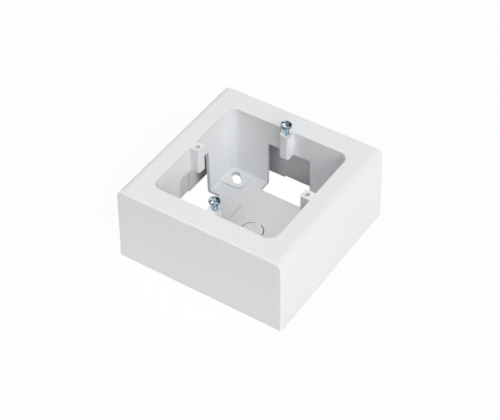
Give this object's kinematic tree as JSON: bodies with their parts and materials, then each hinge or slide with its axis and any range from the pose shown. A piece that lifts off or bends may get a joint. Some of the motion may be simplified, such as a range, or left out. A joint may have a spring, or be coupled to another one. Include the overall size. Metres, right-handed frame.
{
  "type": "surface switch box",
  "caption": "Square white surface-mounting switch box, open in front, with a recessed well, screw posts, cable cut-outs in its walls and part-driven device screws.",
  "frame": {"origin": "centre of the square foot that goes against the wall, on the wall plane", "axes": "+Z from the wall towards the open front; +X and +Y along the sides, with the device screws on the Y axis"},
  "size_m": [0.09, 0.09, 0.048],
  "materials": {
    "white_moulding": "fine satin, as moulded",
    "zinc_plating": "bright bluish zinc plating"
  },
  "bodies": {
    "box": {"box_body": "white_moulding"},
    "front_screw": {"front_screw": "zinc_plating"},
    "back_screw": {"back_screw": "zinc_plating"}
  },
  "joints": [
    {"name": "front_screw_travel", "type": "slide", "parent": "box", "child": "front_screw", "axis": [0, 0, 1], "range_m": [-0.0039, 0.008]},
    {"name": "back_screw_travel", "type": "slide", "parent": "box", "child": "back_screw", "axis": [0, 0, 1], "range_m": [-0.0046, 0.008]}
  ]
}
